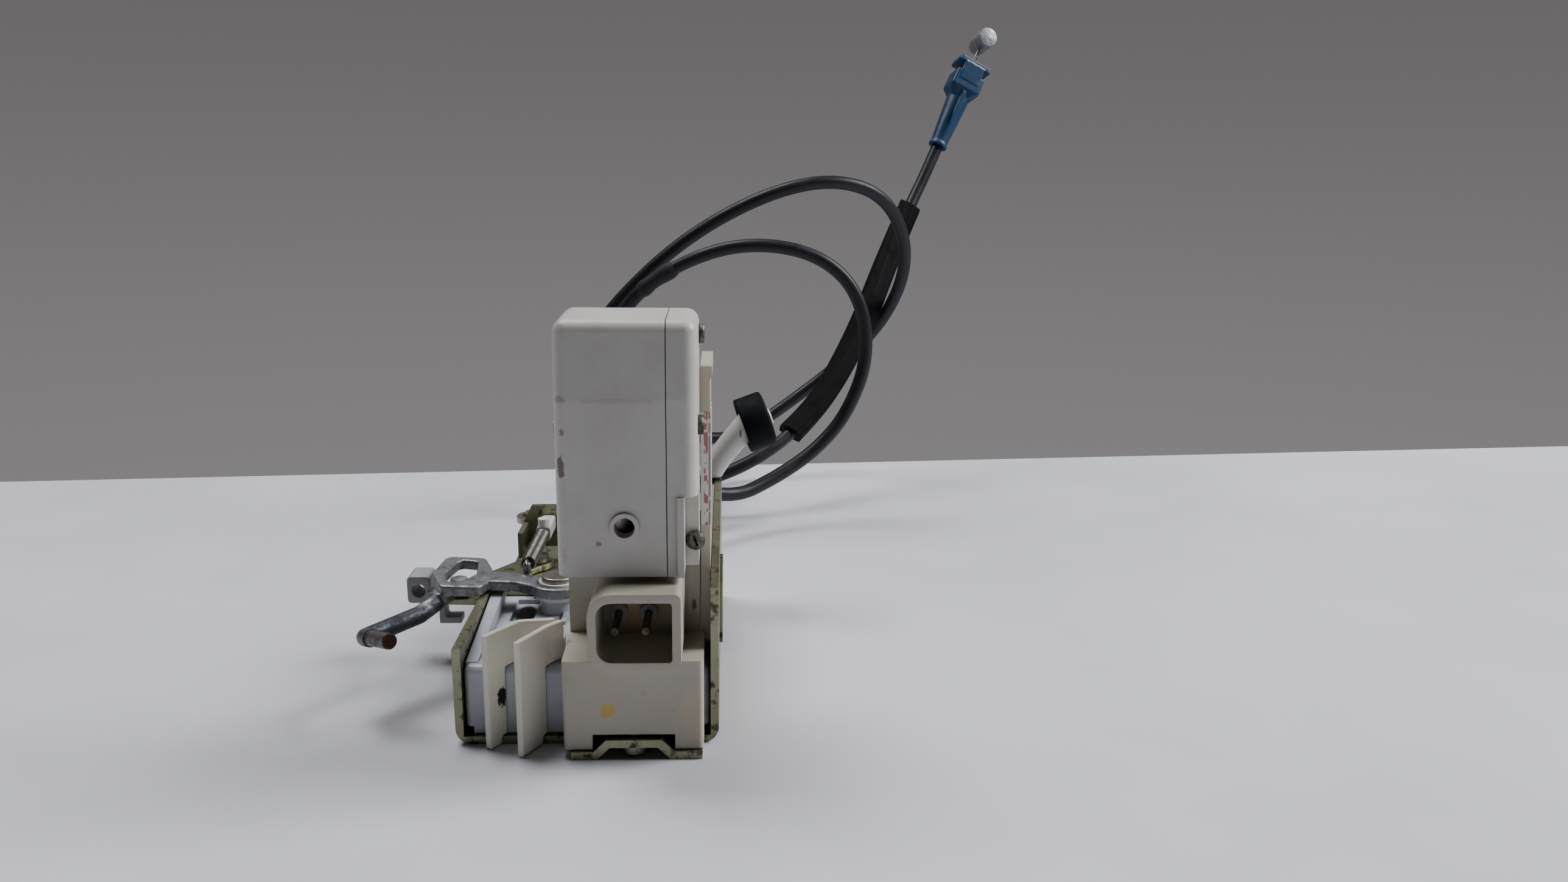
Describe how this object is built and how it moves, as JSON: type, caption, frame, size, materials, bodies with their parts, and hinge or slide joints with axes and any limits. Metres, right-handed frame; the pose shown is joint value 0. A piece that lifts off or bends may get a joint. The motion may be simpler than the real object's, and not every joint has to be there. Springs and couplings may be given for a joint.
{
  "type": "car door latch with locking actuator",
  "caption": "Car door latch: fork bolt and pawl in a steel shell, electric locking actuator, outside lever, rod clip and a looped Bowden cable with a blue end fitting.",
  "frame": {"origin": "centre of the mounting face of the steel shell, on its underside", "axes": "+Z out of the mounting face into the latch, +X to the side where the striker enters, +Y to the end where the cable leaves"},
  "size_m": [0.2106, 0.3251, 0.1889],
  "materials": {
    "chromated_steel": "olive-yellow zinc chromate on folded steel, dirty",
    "bright_steel": "bright steel",
    "zinc_casting": "mottled grey die-cast zinc",
    "rusted_steel": "steel with a rusty end",
    "white_nylon": "bluish-white natural nylon",
    "ivory_nylon": "ivory nylon",
    "offwhite_plastic": "off-white moulded plastic with grime",
    "grey_nylon": "grey nylon",
    "black_rubber": "black rubber",
    "black_plastic": "black plastic",
    "cable_jacket": "dark charcoal jacket",
    "blue_plastic": "blue moulded plastic",
    "printed_label": "blank label with plain bars",
    "brass_terminal": "tarnished plated brass",
    "gear_plastic": "natural acetal"
  },
  "bodies": {
    "lock_frame": {"actuator_carrier": "offwhite_plastic", "actuator_case": "offwhite_plastic", "actuator_cover": "offwhite_plastic", "back_plate": "chromated_steel", "base_plate": "chromated_steel", "blank_label": "printed_label", "bracket_rivets": "bright_steel", "cable_anchor": "chromated_steel", "cable_conduit": "cable_jacket", "cable_end_fitting": "blue_plastic", "cable_ferrule": "black_plastic", "cable_sleeve": "black_rubber", "case_seal": "black_rubber", "connector_terminals": "brass_terminal", "cover_screws": "bright_steel", "fork_rivet": "bright_steel", "fork_spring": "bright_steel", "inside_lever_spring": "bright_steel", "inside_stud": "bright_steel", "key_link_stud": "bright_steel", "latch_housing": "white_nylon", "lever_bush": "white_nylon", "lever_return_spring": "bright_steel", "lever_stud": "bright_steel", "lock_stud": "bright_steel", "motor": "bright_steel", "pawl_rivet": "bright_steel", "pawl_spring": "bright_steel", "position_switch": "black_plastic", "rear_bracket": "chromated_steel", "splash_flap": "ivory_nylon", "spring_anchor": "white_nylon", "striker_bumper": "black_rubber", "switch_housing": "ivory_nylon", "terminal_collars": "grey_nylon", "tongue_rivet": "bright_steel"},
    "fork": {"fork_bolt": "bright_steel", "fork_jacket": "black_plastic"},
    "pawl_arm": {"pawl": "bright_steel"},
    "outside_lever": {"outside_handle_lever": "zinc_casting", "outside_lever_pin": "rusted_steel"},
    "lock_arm": {"lock_lever": "chromated_steel", "rod_clip": "grey_nylon"},
    "link": {"lock_link": "bright_steel"},
    "worm_drive": {"worm": "bright_steel", "motor_shaft": "bright_steel"},
    "output": {"worm_wheel": "gear_plastic", "output_shaft": "bright_steel", "output_lever": "bright_steel"},
    "inside_lever": {"inside_handle_lever": "chromated_steel"},
    "lock_end": {"lock_end_wire": "bright_steel", "lock_end_nipple": "zinc_casting"},
    "free_end": {"free_end_wire": "bright_steel", "free_end_nipple": "zinc_casting"},
    "key_link": {"key_link_elbow": "white_nylon", "key_link_cap": "black_rubber"}
  },
  "joints": [
    {"name": "fork_turn", "type": "hinge", "parent": "lock_frame", "child": "fork", "pos_m": [0.0036, 0.033, 0.007], "axis": [0, 0, -1], "range_deg": [0, 65], "stiffness_Nm_per_rad": 0.02},
    {"name": "pawl_turn", "type": "hinge", "parent": "lock_frame", "child": "pawl_arm", "pos_m": [-0.015, 0.003, 0.007], "axis": [0, 0, -1], "range_deg": [0, 14], "stiffness_Nm_per_rad": 0.02},
    {"name": "outside_lever_turn", "type": "hinge", "parent": "lock_frame", "child": "outside_lever", "pos_m": [-0.0115, -0.0116, 0.026], "axis": [0, 0, 1], "range_deg": [0, 14], "stiffness_Nm_per_rad": 0.3, "deforming": ["lever_return_spring"]},
    {"name": "output_turn", "type": "hinge", "parent": "lock_frame", "child": "output", "pos_m": [0.01615, -0.0455, 0.088], "axis": [0, -1, 0], "range_deg": [0, 41.54]},
    {"name": "worm_spin", "type": "hinge", "parent": "lock_frame", "child": "worm_drive", "pos_m": [0.007, -0.0455, 0.088], "axis": [0, 0, 1], "range_deg": [0, 1080.1]},
    {"name": "lock_link_slide", "type": "slide", "parent": "lock_frame", "child": "link", "axis": [1, 0, 0], "range_m": [0, 0.0087]},
    {"name": "lock_lever_turn", "type": "hinge", "parent": "lock_frame", "child": "lock_arm", "pos_m": [-0.022, 0.018, 0.022], "axis": [0, 0, -1], "range_deg": [0, 20.05]},
    {"name": "inside_lever_turn", "type": "hinge", "parent": "lock_frame", "child": "inside_lever", "pos_m": [0.02, 0.042, 0.024], "axis": [0, 0, -1], "range_deg": [0, 21.2]},
    {"name": "lock_end_wire_slide", "type": "slide", "parent": "lock_frame", "child": "lock_end", "axis": [0, 1, 0], "range_m": [0, 0.0045]},
    {"name": "free_end_wire_slide", "type": "slide", "parent": "lock_frame", "child": "free_end", "axis": [0.3996, 0.3633, 0.8416], "range_m": [0, 0.00422], "stiffness_N_per_m": 400},
    {"name": "key_link_turn", "type": "hinge", "parent": "lock_frame", "child": "key_link", "pos_m": [0.02845, 0.047, 0.042], "axis": [0, 0, 1], "range_deg": [-15, 15]}
  ],
  "couplings": [
    {"joint": "worm_spin", "follows": "output_turn", "ratio": 26},
    {"joint": "lock_link_slide", "follows": "output_turn", "m_per_rad": 0.011975},
    {"joint": "lock_lever_turn", "follows": "output_turn", "ratio": 0.48146},
    {"joint": "lock_end_wire_slide", "follows": "free_end_wire_slide", "ratio": 1},
    {"joint": "inside_lever_turn", "follows": "free_end_wire_slide", "rad_per_m": 82.717}
  ]
}
